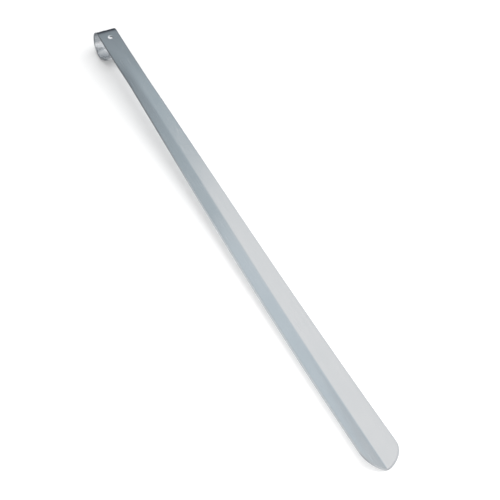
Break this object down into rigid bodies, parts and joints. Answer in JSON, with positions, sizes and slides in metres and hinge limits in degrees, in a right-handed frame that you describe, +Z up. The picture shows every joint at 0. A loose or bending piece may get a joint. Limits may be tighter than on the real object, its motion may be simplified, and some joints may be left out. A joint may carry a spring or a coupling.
{
  "type": "long shoehorn",
  "caption": "Long metal shoehorn: a tapered strip folded to a shallow V, with a rounded, slightly upswept blade, a hooked far end and a hanging hole.",
  "frame": {"origin": "middle of the bounding box's footprint, on the surface that the shoehorn lies on", "axes": "+X along the strip towards the blade's tip, +Y across the strip, +Z up, on the hollow side"},
  "size_m": [0.6, 0.0326, 0.026],
  "materials": {
    "satin_metal": "satin, fine lengthwise brushing, cool grey"
  },
  "bodies": {
    "root": {"hook": "satin_metal", "handle": "satin_metal", "blade": "satin_metal"}
  },
  "joints": []
}
